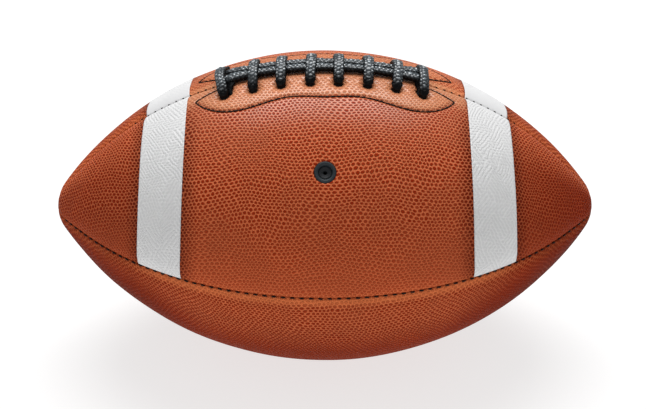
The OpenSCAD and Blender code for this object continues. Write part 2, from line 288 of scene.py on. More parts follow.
facing_step = 0.3 * mm
other_half = [Vector((-p.x, p.y, 0)) for p in reversed(half_line[:-1])]
facing_path = smooth_line(half_line + other_half, facing_step)
facing_corner = half_line[len(tip_line)]
facing_corners = [
    min(facing_path, key=lambda p: (p - Vector((end * facing_corner.x, facing_corner.y, 0))).length)
    for end in (-1, 1)]
facing_tree = kdtree.KDTree(len(facing_path))
for i, point in enumerate(facing_path):
    facing_tree.insert(point, i)
facing_tree.balance()


def level(line, x):
    """Height of a line of (x, height) points in mm over a place x in metres; 0 beyond its first point."""
    x = abs(x) / mm
    for (x0, y0), (x1, y1) in zip(line, line[1:]):
        if min(x0, x1) <= x <= max(x0, x1) and x0 != x1:
            return (y0 + (y1 - y0) * (x - x0) / (x1 - x0)) * mm
    return 0.0


def in_facing(point):
    """How far a flat point lies inside the stitched outline, 0 outside it."""
    x = outline(point.x)[0]
    if not level(tip_line, x) < point.y < level(outer_line, x):
        return 0.0
    return facing_tree.find(point)[2]


pillow_ramp = 3 * mm
groove_depth = 0.5 * mm
groove_width = 0.9 * mm
pull_depth = 1.2 * mm
pull_width = 1.9 * mm
pucker_height = 0.35 * mm
pucker_count = 7
pucker_turn = 2.4
pillow_height = 0.45 * mm
facing_reach = 72 * mm
facing_edge = 31 * mm


def lacing_relief(point):
    """Height that the lacing and the facing's stitches give the leather at a flat point."""
    if abs(point.x) > facing_reach or point.y > facing_edge:
        return 0.0
    height = -groove_depth * math.exp(-(facing_tree.find(point)[2] / groove_width) ** 2)
    height += pillow_height * min(1.0, in_facing(point) / pillow_ramp)
    for i, hole in enumerate(lace_holes):
        middle, distance = on_hole(point, hole)
        away = max(0.0, distance - hole[2])
        if away > 5 * pull_width:
            continue
        bearing = math.atan2(point.y - middle.y, point.x - middle.x)
        height -= pull_depth * math.exp(-(away / pull_width) ** 2)
        ring = math.exp(-((away - pull_width) / pull_width) ** 2)
        height += pucker_height * ring * math.cos(pucker_count * bearing + pucker_turn * i) / 2
    return height


def no_relief(point):
    return 0.0


swell_height = 0.3 * mm
swell_size = 38 * mm


def swell(point, seed):
    """Slow unevenness of the blown-up leather at a flat point: only inwards, and none along its seams."""
    near = min(point.y, girth(point.x) - point.y)
    fade = min(1.0, max(0.0, near) / valley_width)
    lump = noise.noise(Vector((point.x, point.y, 0)) / swell_size + Vector((0, 0, seed)))
    return fade * swell_height * (lump - 0.5)


class Finish:
    """One socket of a material's nodes. Sums on it add Math nodes, and node() adds any other node."""

    def __init__(self, tree, socket=None):
        self.tree = tree
        self.socket = socket

    def node(self, kind, settings=None, inputs=None, output=0):
        made = self.tree.nodes.new(kind)
        for name, value in (settings or {}).items():
            setattr(made, name, value)
        for name, value in (inputs or {}).items():
            if isinstance(value, Finish):
                self.tree.links.new(value.socket, made.inputs[name])
            else:
                made.inputs[name].default_value = value
        return Finish(self.tree, made.outputs[output])

    def math(self, operation, *values):
        return self.node("ShaderNodeMath", {"operation": operation}, dict(enumerate(values)))

    def cosine(self):
        return self.math("COSINE", self)

    def __add__(self, other):
        return self.math("ADD", self, other)

    def __sub__(self, other):
        return self.math("SUBTRACT", self, other)

    def __rsub__(self, other):
        return self.math("SUBTRACT", other, self)

    def __mul__(self, other):
        return self.math("MULTIPLY", self, other)

    __radd__ = __add__
    __rmul__ = __mul__

    def rise(self, low, high):
        """Smooth step from 0 at low to 1 at high, which may be the smaller of the two."""
        return self.node(
            "ShaderNodeMapRange", {"interpolation_type": "SMOOTHSTEP"},
            {"Value": self, "From Min": low, "From Max": high})

    def tint(self, first, second):
        """Colour that goes from first to second as this value goes from 0 to 1."""
        return self.node("ShaderNodeMix", {"data_type": "RGBA"}, {0: self, 6: first, 7: second}, 2)

    def shaded(self, value):
        """This colour or vector times a value."""
        return self.node("ShaderNodeVectorMath", {"operation": "SCALE"}, {0: self, "Scale": value})

    def noise(self, size, detail=2.0, roughness=0.5, output=0):
        """Noise over this place, with lumps of about a size."""
        return self.node("ShaderNodeTexNoise", None, {
            "Vector": self, "Scale": 1 / size, "Detail": detail, "Roughness": roughness}, output)

    def drifted(self, size, reach):
        """This place, pushed about by up to half a reach, so that a pattern over it isn't regular."""
        push = self.noise(size, 1.0, 0.5, 1)
        push = push.node("ShaderNodeVectorMath", {"operation": "SUBTRACT"}, {0: push, 1: (0.5, 0.5, 0.5)})
        return self.node("ShaderNodeVectorMath", {"operation": "ADD"}, {0: self, 1: push.shaded(reach)})

    def along(self, way):
        """How far this place lies along a direction."""
        return self.node("ShaderNodeVectorMath", {"operation": "DOT_PRODUCT"}, {0: self, 1: way}, 1)

    def wear_and_light(self, name):
        """Value of a layer that is painted on the vertices."""
        return self.node("ShaderNodeAttribute", {"attribute_name": name}, None, 2)


def new_finish(name, constants):
    """New material, with constants on the shader's own sockets, and the first Finish of its nodes."""
    material = bpy.data.materials.new(name)
    material.use_nodes = True
    shader = material.node_tree.nodes["Principled BSDF"]
    for socket, value in constants.items():
        shader.inputs[socket].default_value = value
    return material, Finish(material.node_tree)


def dress(material, colour, roughness, height, depth, coat=None):
    """Joins the varying colour, roughness, relief and coat to a material's shader."""
    tree = material.node_tree
    shader = tree.nodes["Principled BSDF"]
    relief = height.node("ShaderNodeBump", None, {"Distance": depth, "Height": height})
    tree.links.new(colour.socket, shader.inputs["Base Color"])
    tree.links.new(roughness.socket, shader.inputs["Roughness"])
    tree.links.new(relief.socket, shader.inputs["Normal"])
    if coat:
        tree.links.new(coat.socket, shader.inputs["Coat Weight"])


# Pebbles are dark red spots, packed closely in bent rows, in a lighter net. Handling and stretching
# polish the net and even out the spots. The lighter strips along the seams and round the back's
# lacing are partly wear and partly painted light from above.
pebble_row = 1.92 * mm
pebble_ways = [(0, 1.13, 0), (0.84, 0.565, 0), (0.84, -0.565, 0)]
net_colour = (0.63, 0.145, 0.054, 1)
shaded_net_colour = (0.44, 0.050, 0.010, 1)
spot_colour = (0.280, 0.020, 0.003, 1)
polished_sheen_colour = (0.74, 0.340, 0.172, 1)
lit_lip_colour = (0.76, 0.192, 0.066, 1)
stain_and_shadow_colour = (0.085, 0.008, 0.003, 1)
painted_layers = ("polish_and_light", "calm", "stain_and_shadow", "wax_and_sheen", "painted_light")
pebble_relief = 0.56 * mm


def pebble_waves(place):
    """Three waves that cross at a place. Their sum is 3 in the middle of a pebble, and -1.5 in the net."""
    grain = place.drifted(46 * mm, 12 * mm).drifted(11 * mm, 2.8 * mm).drifted(3.0 * mm, 1.2 * mm)
    return [(grain.along(way) * (2 * math.pi / pebble_row)).cosine() for way in pebble_ways]


def leather_finish():
    material, start = new_finish("panel_leather", {
        "Specular IOR Level": 0.02, "Coat Roughness": 0.34, "Coat IOR": 1.6})
    place = start.node("ShaderNodeUVMap", {"uv_map": "hide"})
    waves = pebble_waves(place)
    polish_and_light, calm, stain_and_shadow, wax_and_sheen, painted_light = (start.wear_and_light(name) for name in painted_layers)
    spot = (waves[0] + waves[1] + waves[2]).rise(-1.25, 1.1)
    chance = place.noise(2.2 * mm, 1.0)
    patch = place.noise(30 * mm, 3.0)
    fine = place.noise(0.5 * mm, 3.0, 0.6)
    # Painted shade makes the spots stronger, the net a deeper red and the whole colour darker.
    strength = spot * (0.35 + 0.6 * chance + 0.7 * patch) * (1 - calm * 0.75) * (1.9 - painted_light * 0.84)
    strength = (strength + (calm - polish_and_light) * 0.35) * (1 - wax_and_sheen * 0.2)
    # Where the panel is glossy the hide is also painted lighter and pinker: a painted sheen.
    hide = (wax_and_sheen * 0.28).tint(painted_light.rise(0.98, 0.66).tint(net_colour, shaded_net_colour), polished_sheen_colour)
    # Worn strips without gloss turn orange: wear, and painted light from above.
    lightened = wax_and_sheen.rise(0.1, 0.5).tint(lit_lip_colour, polished_sheen_colour)
    colour = strength.tint(polish_and_light.tint(hide, lightened), spot_colour)
    # Real stain beside the bands, and painted shadow in the creases of the seams.
    colour = (stain_and_shadow * (0.42 + spot * 0.5)).tint(colour, stain_and_shadow_colour)
    colour = colour.shaded(((patch - 0.5) * 0.4 + (fine - 0.5) * 0.3 + 1.0) * painted_light)
    roughness = 0.55 + spot * 0.1 + (fine - 0.5) * 0.2 + (patch - 0.5) * 0.15
    height = (1 - spot) * (1 - calm * 0.4) + fine * 0.2
    coat = (1 - spot * 0.92) * wax_and_sheen * 0.94 * (1 - stain_and_shadow * 0.6)
    dress(material, colour, roughness, height, pebble_relief, coat)
    return material


panel_leather = leather_finish()
band_inner = {-1: 70.2 * mm, 1: 72.6 * mm}
band_width = 26.2 * mm
band_bow = 5 * mm
band_lead = 0.25
stain_inside = 10 * mm
stain_span = (6.6 * mm, 28.6 * mm)
stain_outside = 9 * mm
stain_power = 1.3


def between(value, low, high):
    """How far a value is from low to high, from 0 to 1."""
    return min(1.0, max(0.0, (value - low) / (high - low)))


def band_edge_at(share, end):
    """Place along the ball of a band's inner edge. The straight edge bows when the panel is blown up."""
    return along_at(band_inner[end] + band_bow * (share - band_lead) ** 2)


def stain_at(point):
    """How dark the leather is at a flat point beside a white band. Inside the bands it is clean up at
    the lace seam."""
    end = -1 if point.x < 0 else 1
    beyond = abs(point.x) - band_edge_at(point.y / girth(point.x), end)
    if beyond < 0:
        lower = between(point.y, *stain_span)
        return max(0.0, 1 + beyond / stain_inside) ** stain_power * lower
    return max(0.0, 1 - max(0.0, beyond - band_width) / stain_outside) ** stain_power


wax_reach = 43 * mm
wax_half_length = 88 * mm
wax_share = {1: 1, -1: 0.45}


def wax_and_sheen_at(point):
    """How glossy a laced panel is: most round the lacing, where it is stretched and handled. The same mask
    lightens and pinkens the hide there, a painted sheen.
    """
    across = math.exp(-(max(0.0, point.y) / wax_reach) ** 2)
    return across * math.exp(-(point.x / wax_half_length) ** 4)


# Painted shade on the hide, and the shares of a panel over which it darkens
middle_light = 1.09
end_shade = 0.22
end_span = (0.36, 0.6)
nose_shade = 0.3
side_shade = 0.1
laced_span = (0.02, 0.4)
lower_shade = 0.04
belly_shade = 0.31
belly_span = (0.08, 0.35)
way_light = {1: 1, -1: 0.94}


def painted_light_at(point, laced):
    """Painted shade on the hide: darker beyond the bands and towards the noses, on the laced panels only
    lower down, a little darker at the right nose, and on the lower panels more towards the belly.
    """
    share = point.x / half_meridian
    down = point.y / girth(point.x)
    end = end_shade * between(abs(share), *end_span) + nose_shade * max(0.0, abs(share) - end_span[1])
    painted_light = middle_light - side_shade * share ** 3
    if laced:
        return painted_light - end * between(down, *laced_span)
    return painted_light - end - lower_shade - belly_shade * between(down, *belly_span)


seam_shadow = 0.28
shadow_reach = 0.75 * roll_radius


def seam_shade(point):
    """Painted shadow down on the rolled edge of a seam, in the crease between the edges."""
    near = min(point.y, girth(point.x) - point.y) / ease(point.x)
    return seam_shadow * between(near, shadow_reach, 0.0)


# Where polish, partly painted light, ends and is full: from a seam, along the ball or inside the
# facing's stitches
first_span = (5.6 * mm, 2.4 * mm)
second_span = (3.6 * mm, 0.0)
second_polish = 0.5
lacing_span = {1: (17 * mm, 9 * mm), -1: (38 * mm, 26 * mm)}
lacing_share = {1: 1, -1: 0.7}
lacing_ends = (80 * mm, facing_reach)
facing_span = (0.0, 2 * mm)
facing_polish = 0.65
nose_span = (90 * mm, 116 * mm)
nose_fade = 0.7
stretch_span = (0.6, 0.9)
stretch_calm = 0.75
lower_calm = 0.15
lower_nose_calm = 0.4
lower_nose_span = (50 * mm, 110 * mm)


def polish_and_light_at(point, laced, way):
    """How light the leather is, from wear and from painted light from above: most along its first seam,
    then inside the facing's stitches and round the lacing, which reaches further out on the back, and
    least along its second seam."""
    polish_and_light = between(point.y, *first_span)
    polish_and_light = max(polish_and_light, second_polish * between(girth(point.x) - point.y, *second_span))
    polish_and_light *= 1 - nose_fade * between(abs(point.x), *nose_span)
    if not laced:
        return polish_and_light
    lacing = between(point.y, *lacing_span[way])
    lacing *= between(abs(point.x), *lacing_ends) * lacing_share[way]
    return max(polish_and_light, facing_polish * max(lacing, between(in_facing(point), *facing_span)))


def calm_at(point, laced, way):
    """How far the pebbles are evened out, where the leather is worn or stretched."""
    polish_and_light = polish_and_light_at(point, laced, way)
    if not laced:
        return max(polish_and_light, lower_calm + lower_nose_calm * between(abs(point.x), *lower_nose_span))
    return max(polish_and_light, stretch_calm * between(point.y / girth(point.x), *stretch_span))


hide_apart = 0.4


def thicken(sheet, uv, seed):
    """Gives a flat sheet its inner face, and each corner its flat place as a UV map. Every seed has its
    own part of the hide. Returns the outer vertices."""
    outer = set(sheet.verts)
    bmesh.ops.extrude_face_region(sheet, geom=sheet.faces[:], use_keep_orig=True)
    for face in sheet.faces:
        for loop in face.loops:
            point = loop.vert.co
            loop[uv].uv = (point.x + hide_apart * seed, point.y - girth(point.x) / 2)
    return outer


def make_panel(node, columns, rows, seam_turn, way, holes, relief, seed, laced):
    """One leather panel: cut flat, given its thickness, and folded over the ball."""
    sheet = flat_panel(columns, rows)
    cut_holes(sheet, holes)
    polish_and_light, calm, stain_and_shadow, wax_and_sheen, painted_light = [sheet.verts.layers.float.new(name) for name in painted_layers]
    outer = thicken(sheet, sheet.loops.layers.uv.new("hide"), seed)
    for v in sheet.verts:
        point = v.co.copy()
        v[polish_and_light] = polish_and_light_at(point, laced, way)
        v[calm] = calm_at(point, laced, way)
        # Real stain beside the bands, and painted shadow along every seam.
        v[stain_and_shadow] = max(seam_shade(point), stain_at(point) if laced else 0.0)
        # Gloss round the lacing, and a painted sheen that lightens the hide there.
        v[wax_and_sheen] = wax_and_sheen_at(point) * wax_share[way] if laced else 0.0
        # Painted shade, a little deeper on the back panels.
        v[painted_light] = painted_light_at(point, laced) * way_light[way]
        height = relief(point) + swell(point, seed)
        if v in outer:
            v.co = fold(point.x, point.y, seam_turn, way, height)
        else:
            v.co = fold_inside(point.x, point.y, seam_turn, way, height)
    bmesh.ops.recalc_face_normals(sheet, faces=sheet.faces)
    panel = smooth_object(node + "_leather", sheet)
    panel.data.materials.append(panel_leather)
    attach(panel, "root")
    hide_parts(node)


def even_columns(marks):
    """The same places along the ball all the way across."""
    places = [p * half_meridian for p in both_ways(spread(marks))]
    return lambda share: places


laced_columns = even_columns([(0.406, 96), (1, 62)])
plain_columns = even_columns([(1, 120)])
laced_rows = spread([(0.23, 56), (0.43, 16), (0.57, 22), (0.93, 28), (1, 9)])
plain_rows = spread([(0.07, 9), (0.93, 70), (1, 9)])
upper = (laced_columns, laced_rows, top_turn)
lower = (plain_columns, plain_rows)
make_panel("panel_front_upper", *upper, 1, lace_holes + valve_holes, lacing_relief, 1, True)
make_panel("panel_back_upper", *upper, -1, lace_holes, lacing_relief, 2, True)
make_panel("panel_front_lower", *lower, front_turn, 1, [], no_relief, 3, False)
make_panel("panel_back_lower", *lower, back_turn, -1, [], no_relief, 4, False)

# White bands
# A coat of white paint across each upper panel near both ends, from seam to seam. It is sprayed on
# the finished leather, so it follows the pebbles, softens them and ends in a clean masked edge.
coat_gap = 0.05 * mm
coat_thickness = 0.14 * mm
band_cells = 36
band_relief = 0.22 * mm
band_white = (0.84, 0.84, 0.84, 1)
band_shade = (0.68, 0.68, 0.69, 1)


def band_finish():
    material, start = new_finish("white_band", {"Specular IOR Level": 0.4})
    place = start.node("ShaderNodeUVMap", {"uv_map": "hide"})
    calm = start.wear_and_light("calm")
    waves = pebble_waves(place)
    turn = place.noise(9 * mm, 1.0).rise(0.42, 0.58)
    spot = (waves[0] + waves[1] * (0.3 + turn * 1.6) + waves[2] * (1.9 - turn * 1.6)).rise(-1.2, 1.2)
    spot = spot * (1 - calm)
    fine = place.noise(0.6 * mm, 3.0, 0.6)
    patch = place.noise(16 * mm, 3.0)
    # Grey in the pebbles' spots, and on the back bands near the lace seam, is painted shade.
    shade = spot * 0.45 + calm * 0.55 + (fine - 0.5) * 0.3 + (patch - 0.5) * 0.5
    roughness = 0.5 + (fine - 0.5) * 0.2
    dress(material, shade.tint(band_white, band_shade), roughness, (1 - spot) + fine * 0.25, band_relief)
    return material


white_band = band_finish()
band_edge = roll_marks[2:]
band_calm_and_shade_reach = 20 * mm


def band_columns(end):
    """Places along the ball across one band, for a share of the way from the lace seam."""
    def places(share):
        inner = band_edge_at(share, end)
        across = [inner + band_width * i / band_cells for i in range(band_cells + 1)]
        return across if end > 0 else [-x for x in reversed(across)]
    return places


def make_band(node, way, end, seed):
    """One band's coat, folded over the leather like the panel under it."""
    sheet = flat_panel(band_columns(end), laced_rows, band_edge)
    calm = sheet.verts.layers.float.new("calm")
    outer = thicken(sheet, sheet.loops.layers.uv.new("hide"), seed)
    for v in sheet.verts:
        # On the back bands near the lace seam the pebbles are evened out and the coat greyed: painted shade.
        v[calm] = between(v.co.y, band_calm_and_shade_reach, 0.0) ** 0.5 if way < 0 else 0.0
        lift = coat_gap + (coat_thickness if v in outer else 0.0)
        height = lacing_relief(v.co) + swell(v.co, seed)
        v.co = fold(v.co.x, v.co.y, top_turn, way, height, lift)
    bmesh.ops.recalc_face_normals(sheet, faces=sheet.faces)
    band = smooth_object(node + "_coat", sheet)
    band.data.materials.append(white_band)
    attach(band, "root")
    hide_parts(node)


make_band("band_front_left", 1, -1, 1)
make_band("band_front_right", 1, 1, 1)
make_band("band_back_left", -1, -1, 2)
make_band("band_back_right", -1, 1, 2)

# Seam stitches
# Waxed black thread that joins the panels from inside. It shows as a short dash at each stitch, down in
# the valley between two rolled edges, and on the lace seam only from the lacing to past the bands.
thread_sink = 0.12 * mm
stitch_slant = math.radians(6)

# Start and end of a seam's stitches from the middle, then the pitch, length and thickness of a stitch
plain_seam = (0.0, 166 * mm, 4.67 * mm, 2.6 * mm, 0.9 * mm)
lace_seam = (56.8 * mm, 112 * mm, 4.3 * mm, 1.2 * mm, 0.72 * mm)
ply_width = 0.9 * mm
ply_relief = 0.08 * mm
thread_black = (0.006, 0.005, 0.005, 1)
thread_brown = (0.018, 0.012, 0.010, 1)


def thread_finish():
    material, start = new_finish("waxed_thread", {"Specular IOR Level": 0.12})
    place = start.node("ShaderNodeTexCoord", None, None, 3)
    fine = place.noise(0.3 * mm, 2.0)
    ply = place.node("ShaderNodeTexWave", {"bands_direction": "DIAGONAL"}, {
        "Vector": place, "Scale": 0.5 / ply_width, "Distortion": 1.0})
    dress(material, fine.tint(thread_black, thread_brown), 0.45 + fine * 0.2, ply + fine * 0.3, ply_relief)
    return material


waxed_thread = thread_finish()


def add_stitch(sheet, start, end, out, radius):
    """One plump stitch between two places; out points away from the leather."""
    way = (end - start).normalized()
    side = out.cross(way).normalized()
    turned = Matrix((way * (end - start).length / 2, side * radius, way.cross(side).normalized() * radius))
    turned = turned.transposed().to_4x4()
    turned.translation = (start + end) / 2
    bmesh.ops.create_uvsphere(sheet, u_segments=8, v_segments=6, radius=1, matrix=turned)


def finish_thread(name, sheet):
    thread = smooth_object(name, sheet)
    thread.data.materials.append(waxed_thread)
    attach(thread, "root")


def sew_seam(name, turn, start, reach, pitch, length, thickness):
    """Stitches of one seam towards both noses, from a distance start from the middle up to a reach."""
    sheet = bmesh.new()
    count = int((reach - start) / pitch)
    for end in (-1, 1):
        for i in range(count):
            along = end * (start + (i + 0.5) * pitch)
            share = ease(along)
            sink = valley(roll_radius * share, share) + thread_sink
            lean = math.sin(stitch_slant) * length / 2 / outline(along)[1]
            half = math.cos(stitch_slant) * length / 2
            first = on_ball(along - half, turn - lean, -sink)
            second = on_ball(along + half, turn + lean, -sink)
            out = on_ball(along, turn, 1.0) - on_ball(along, turn)
            add_stitch(sheet, first, second, out, thickness / 2 * (0.6 + 0.4 * share))
    finish_thread(name, sheet)


for seam, turn in (("front", front_turn), ("back", back_turn), ("bottom", math.pi)):
    sew_seam("stitches_" + seam + "_seam", turn, *plain_seam)
sew_seam("stitches_lace_seam", top_turn, *lace_seam)

# Facing stitches
# One row of lockstitch through each upper panel and the facing behind it. The stitches lie end to
# end in a groove that they pull into the leather, and one ends at each corner of the line.
facing_stitch = 3.0 * mm
facing_overlap = 0.45 * mm
facing_thread_radius = 0.42 * mm
facing_thread_height = -0.22 * mm


def sew_facing(name, way, seed):
    sheet = bmesh.new()
    start = facing_path[0]
    for point in facing_path[1:]:
        if (point - start).length < facing_stitch and point not in facing_corners:
            continue
        gap = (start - point).normalized() * facing_overlap / 2
        ends = []
        for flat in (start + gap, point - gap):
            height = facing_thread_height + swell(flat, seed)
            ends.append(fold(flat.x, flat.y, top_turn, way, height))
        middle = (start + point) / 2
        out = fold(middle.x, middle.y, top_turn, way, 1.0) - fold(middle.x, middle.y, top_turn, way)
        add_stitch(sheet, ends[0], ends[1], out, facing_thread_radius)
        start = point
    finish_thread(name, sheet)


sew_facing("stitches_facing_front", 1, 1)
sew_facing("stitches_facing_back", -1, 2)

# Lace
# One long flat cord of pebbled dark leather. Two strands lie along the seam, and eight laces cross
# over them from hole to hole. Between the holes it runs under the leather, and both tails are tucked in.
lace_round = 4.2 * mm
hole_floor = 4.5 * mm
run_depth = 7.8 * mm
strand_across = 2.55 * mm
strand_height = 2.3 * mm
cross_height = 5.35 * mm
crest_height = cross_height + 0.1 * mm
slot_x = 45.15 * mm
inner_across = 14.5 * mm

# Half width, half thickness and pebbling of the lace: over the strands, in a hole, along the seam
# and inside, where it is round and smooth
cross_section = (2.75 * mm, 1.45 * mm, 1)
mouth_section = (2.25 * mm, 1.4 * mm, 0.6)
strand_section = (2.45 * mm, 1.9 * mm, 1)
inner_section = (lace_round / 2, lace_round / 2, 0)

# Shares of the way from the seam to a hole and of a height or depth
climb_shares = [(1.02, -0.12), (1.01, 0.08), (0.94, 0.25), (0.79, 0.43), (0.61, 0.63), (0.41, 0.86)]
dive_shares = [(1, 0), (0.94, 0.6), (0.76, 0.92)]
turn_shares = [(0, 0), (0.1, 0.62), (0.5, 1), (0.9, 0.62), (1, 0)]
tail_shares = [(-4.2, 0.37, 1), (-1.7, 0.2, 1), (0, 0.04, 0.7)]

# Where a strand turns down, flat and smooth, into an end hole under the end cross lace: x, distance,
# height, half width and half thickness in mm, and pebbling
strand_end_places = [
    (45.2, 14.5, -4.5, 2.1, 2.1, 0), (46.8, 13.5, -3.3, 1.9, 1.6, 0), (48.2, 11.8, -1.9, 1.8, 1.2, 0),
    (48.8, 9.6, -0.8, 2.1, 1.1, 0), (48.9, 7.6, -0.1, 2.8, 1.1, 0), (48.9, 5.8, 0.7, 3.8, 1.3, 0),
    (49.0, 4.5, 1.6, 3.3, 1.6, 0.1), (48.5, 3.6, 2.4, 2.8, 1.9, 0.8), (46.8, 3.1, 2.6, 2.9, 2.1, 1),
    (43.5, 2.85, 2.6, 2.8, 2.1, 1), (40, 2.65, 2.4, 2.6, 2.0, 1)]


def half_over(x, lean, side):
    """From a hole to the seam. lean is the way that the lace has moved sideways at the seam; on the
    back it is pulled that way at once."""
    power = 1 if side > 0 else 4
    climb = [
        (x + lean * (1 - abs(v) ** power), side * v * hole_across, h * cross_height) for v, h in climb_shares]
    top = (x + lean * 0.85, side * strand_across, cross_height)
    mouth = [(*place, *mouth_section) for place in climb[:2]]
    return [(x, side * inner_across, -hole_floor, *inner_section), *mouth] + [
        (*place, *cross_section) for place in [*climb[2:], top]]


def cross_over(i):
    """From the back hole over the strands to the front hole."""
    x = cross_places[i]
    lean = cross_leans[i]
    crest = (x + lean, 0, crest_height, *cross_section)
    return half_over(x, lean, -1) + [crest] + half_over(x, lean, 1)[::-1]


def inside(places):
    return [(*place, *inner_section) for place in places]


def inner_run(x0, x1):
    """Under the leather, from the front hole at x0 to the back hole at x1."""
    half = [(v, hole_floor + h * (run_depth - hole_floor)) for v, h in dive_shares]
    whole = half + [(0, run_depth)] + [(-v, h) for v, h in reversed(half)]
    return inside([(x0 + (x1 - x0) * (1 - v) / 2, v * inner_across, -h) for v, h in whole[1:-1]])


def inner_turn(x0, x1, across):
    turn = [(x0 + (x1 - x0) * a, across, -hole_floor - h * lace_round * 0.6) for a, h in turn_shares]
    return inside(turn[1:-1])


def strand_end(end, side):
    return [
        (end * x * mm, side * v * mm, h * mm, w * mm, t * mm, rough)
        for x, v, h, w, t, rough in strand_end_places]


def strand(side):
    places = [x * cross_step / 2 for x in range(-5, 6)]
    middle = [(x, side * strand_across, strand_height, *strand_section) for x in places]
    return strand_end(-1, side) + middle + strand_end(1, side)[::-1]


def tail(end, side):
    return inside([
        (end * (slot_x + a * mm), side * (1 + v) * inner_across, -hole_floor - h * lace_round / 2)
        for a, v, h in tail_shares])


lace_route = tail(-1, -1) + strand(-1) + inner_turn(slot_x, end_x, -inner_across)
for i in range(cross_count - 1, 0, -1):
    lace_route += cross_over(i) + inner_run(cross_places[i], cross_places[i - 1])
lace_route += cross_over(0) + inner_turn(-end_x, -slot_x, inner_across)
lace_route += strand(1) + tail(1, 1)[::-1]


def lace_place(x, across, height, *section):
    """Place of a point of the route on the ball, followed by its section."""
    along = along_at(x)
    return Vector((*on_ball(along, across / outline(along)[1], height), *section))


def thinned(points, least):
    """The points without those closer than least to the one before."""
    kept = [points[0]]
    for point in points[1:]:
        if (point.xyz - kept[-1].xyz).length > least:
            kept.append(point)
    return kept


lace_step = 0.38 * mm
least_step = 0.3 * mm
lace_sides = 40
inside_skip = 4
inside_from = 3.5 * mm
fine_line = smooth_line(thinned([lace_place(*p) for p in lace_route], least_step), lace_step)


def height_over(point):
    """Height of a point over the ball, valleys left out, and the way out there."""
    along = along_at(point.x)
    x, radius, slope = outline(along)
    turn = math.atan2(-point.y, point.z - axis_height)
    out = (on_ball(along, turn, 1.0) - on_ball(along, turn)).normalized()
    return (math.hypot(point.y, point.z - axis_height) - radius) * math.cos(slope), out


lace_line = [p for i, p in enumerate(fine_line) if i % inside_skip == 0 or height_over(p)[0] > -inside_from]
least_flat = 0.35
flat_share = 0.2


def lace_frames(line):
    """The way and the width direction of the lace at each of its points. Over the leather its flat face
    turns up, and inside it is carried along without a twist."""
    frames = []
    across = Vector((1, 0, 0))
    for i, point in enumerate(line):
        way = (line[min(i + 1, len(line) - 1)].xyz - line[max(i - 1, 0)].xyz).normalized()
        across = (across - way * across.dot(way)).normalized()
        height, out = height_over(point)
        flat = way.cross(out)
        if height > 0 and flat.length > least_flat:
            flat.normalize()
            if flat.dot(across) < 0:
                flat = -flat
            across = across.lerp(flat, flat_share).normalized()
        frames.append((way, across))
    return frames


# Without a seed, noise_vector gives other values in each run
push_seed = 1
girth_share = 0.925
tip_rows = 5
bump_rows = 8
bump_height = 0.62 * mm
bump_sink = 0.4 * mm
bump_push = 0.8 * mm
push_size = 2.4 * mm
push_across = 3 * mm
push_through = 2 * mm
# Heights over which the lace is painted lighter, the strands as if higher, and darker sides: painted light.
light_span = (2.7 * mm, 5.4 * mm)
strand_light = 1.5 * mm
strand_span = (1.5 * mm, 1.9 * mm)
edge_power = 4
corner_power = 2.5
merge_distance = 0.001 * mm


def rounded(value):
    """Sine or cosine of a corner angle, squared off as the lace's section is."""
    return math.copysign(abs(value) ** (2 / corner_power), value)


def make_lace():
    """The cord along its line, with staggered bumps round it. It is painted lighter the higher it stands
    over the ball and darker at its sides, a painted light from above; the strands count as higher for it.
    """
    noise.seed_set(push_seed)
    frames = lace_frames(lace_line)
    sheet = bmesh.new()
    last = len(lace_line) - 1
    bmesh.ops.create_grid(sheet, x_segments=last, y_segments=lace_sides, size=1)
    uv = sheet.loops.layers.uv.new("cord")
    knob = sheet.verts.layers.float.new("knob")
    wear_and_light = sheet.verts.layers.float.new("wear_and_light")
    travelled = [0.0]
    for a, b in zip(lace_line, lace_line[1:]):
        travelled.append(travelled[-1] + (b.xyz - a.xyz).length)
    girth_round = girth_share * 4 * (cross_section[0] + cross_section[1])
    wave = 2 * math.pi * bump_rows / girth_round
    ring = {}
    for v in sheet.verts:
        i = round((v.co.x + 1) / 2 * last)
        j = round((v.co.y + 1) / 2 * lace_sides)
        ring[v] = (i, j)
        way, across = frames[i]
        half_w, half_t, rough = lace_line[i][3:]
        tip = min(1.0, (min(i, last - i) + 1) / tip_rows) ** 0.5
        angle = 2 * math.pi * j / lace_sides
        up = way.cross(across).normalized()
        w = rounded(math.cos(angle))
        t = rounded(math.sin(angle))
        base = across * w * half_w * tip + up * t * half_t * tip
        if rough > 0.02:
            round_it = Vector((travelled[i], w * push_across, t * push_through)) / push_size
            push = noise.noise_vector(round_it) * bump_push
            along = travelled[i] + push.x
            circle = girth_round * j / lace_sides + push.y
            crossing = math.cos(wave * 0.866 * along) * math.cos(wave * 0.5 * circle)
            lump = math.cos(wave * circle) + 2 * crossing
            lump = min(1.0, max(0.0, (lump + 1.2) / 2.6))
            lump *= (0.75 + 0.8 * noise.noise(round_it * 0.7)) * rough
            v[knob] = lump
            grown = 0.4 + 0.6 * t ** 2
            base += base.normalized() * (bump_height * lump - bump_sink * rough) * grown
        v.co = lace_line[i].xyz + base
        # Painted light: lighter the higher over the ball, darker towards the sides.
        lightened = height_over(v.co)[0] + strand_light * between(half_t, *strand_span)
        v[wear_and_light] = between(lightened, *light_span) * (1 - abs(w) ** edge_power)
    for face in sheet.faces:
        for loop in face.loops:
            i, j = ring[loop.vert]
            loop[uv].uv = (travelled[i], girth_round * j / lace_sides)
    bmesh.ops.remove_doubles(sheet, verts=sheet.verts, dist=merge_distance)
    bmesh.ops.holes_fill(sheet, edges=[e for e in sheet.edges if e.is_boundary], sides=0)
    bmesh.ops.recalc_face_normals(sheet, faces=sheet.faces)
    return smooth_object("lace_cord", sheet)


